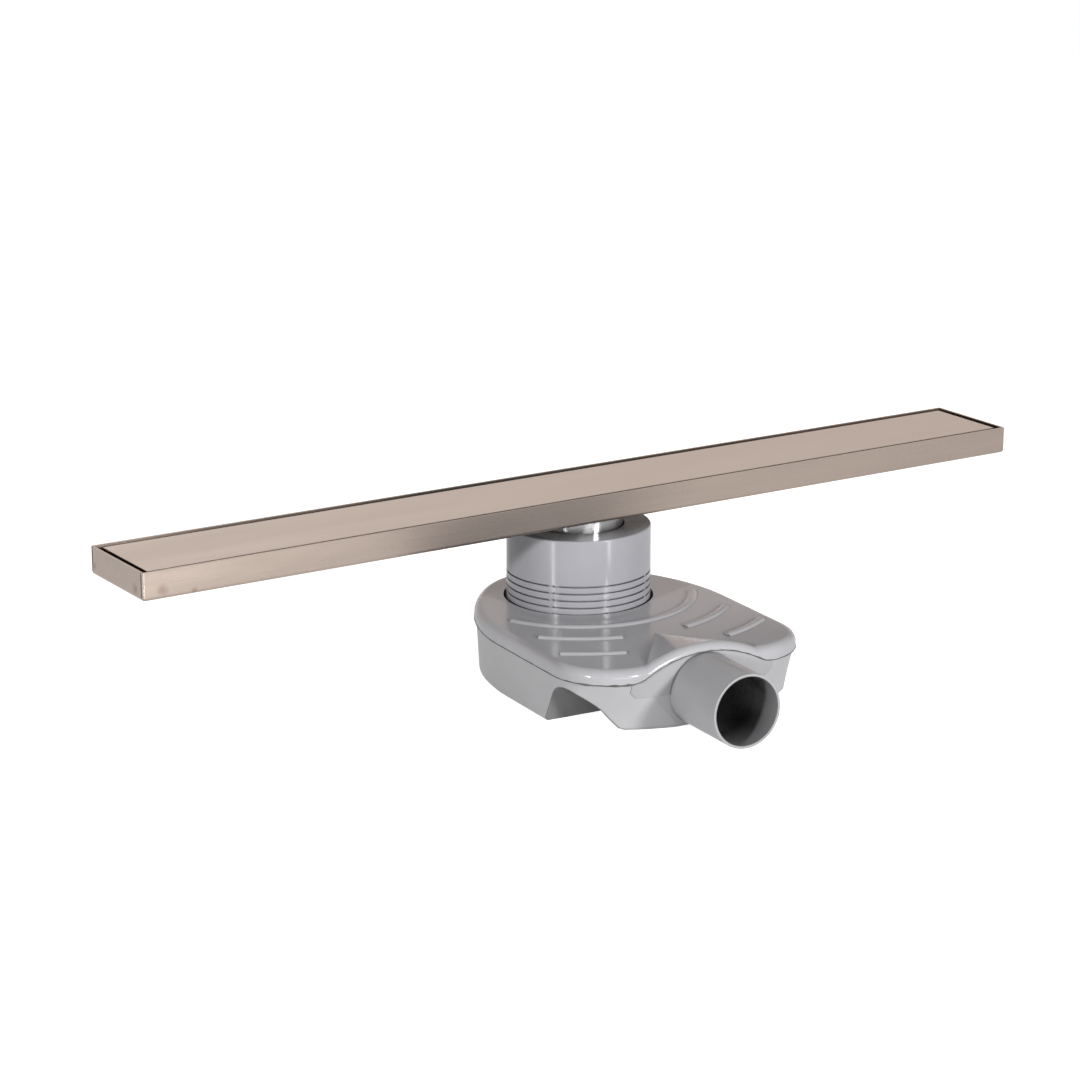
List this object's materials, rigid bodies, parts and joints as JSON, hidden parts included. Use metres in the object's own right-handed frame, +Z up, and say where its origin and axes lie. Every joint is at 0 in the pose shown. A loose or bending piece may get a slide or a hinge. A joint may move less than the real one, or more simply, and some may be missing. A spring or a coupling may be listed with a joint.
{
  "type": "linear shower drain",
  "caption": "Slim steel shower channel with a solid cover on a ribbed height-adjusting neck over a low moulded siphon with a side outlet pipe.",
  "frame": {"origin": "on the floor that the siphon stands on, under the neck's axis", "axes": "+Z up along the neck's axis, -Y along the outlet pipe, +X along the channel, which is turned 3.7 degrees on the neck as in the picture"},
  "size_m": [0.7032, 0.288, 0.126],
  "materials": {
    "channel_steel": "brushed along its length, warm tone",
    "spigot_steel": "drawn tube, bright",
    "cover_steel": "brushed along its length, warm tone",
    "siphon_plastic": "moulded, glossy light grey",
    "neck_plastic": "moulded, glossy light grey",
    "pipe_plastic": "moulded, satin grey",
    "strainer_plastic": "moulded grey",
    "seal_rubber": "black rubber",
    "pad_rubber": "black rubber"
  },
  "bodies": {
    "siphon": {"siphon_top": "siphon_plastic", "siphon_base": "siphon_plastic", "outlet_pipe": "pipe_plastic"},
    "neck": {"neck": "neck_plastic", "neck_seal": "seal_rubber", "spigot_seal": "seal_rubber"},
    "channel": {"channel_trough": "channel_steel", "outlet_spigot": "spigot_steel", "cover_plate": "cover_steel", "hair_strainer": "strainer_plastic", "cover_bridge_1": "cover_steel", "cover_bridge_2": "cover_steel", "cover_bridge_3": "cover_steel", "cover_bridge_4": "cover_steel", "cover_pad_1": "pad_rubber", "cover_pad_2": "pad_rubber", "cover_pad_3": "pad_rubber", "cover_pad_4": "pad_rubber", "cover_pad_5": "pad_rubber", "cover_pad_6": "pad_rubber", "cover_pad_7": "pad_rubber", "cover_pad_8": "pad_rubber"}
  },
  "joints": [
    {"name": "neck_height", "type": "slide", "parent": "siphon", "child": "neck", "axis": [0, 0, 1], "range_m": [-0.015, 0.005]},
    {"name": "channel_swivel", "type": "hinge", "parent": "neck", "child": "channel", "pos_m": [0, 0, 0.098], "axis": [0, 0, 1], "continuous": true}
  ]
}
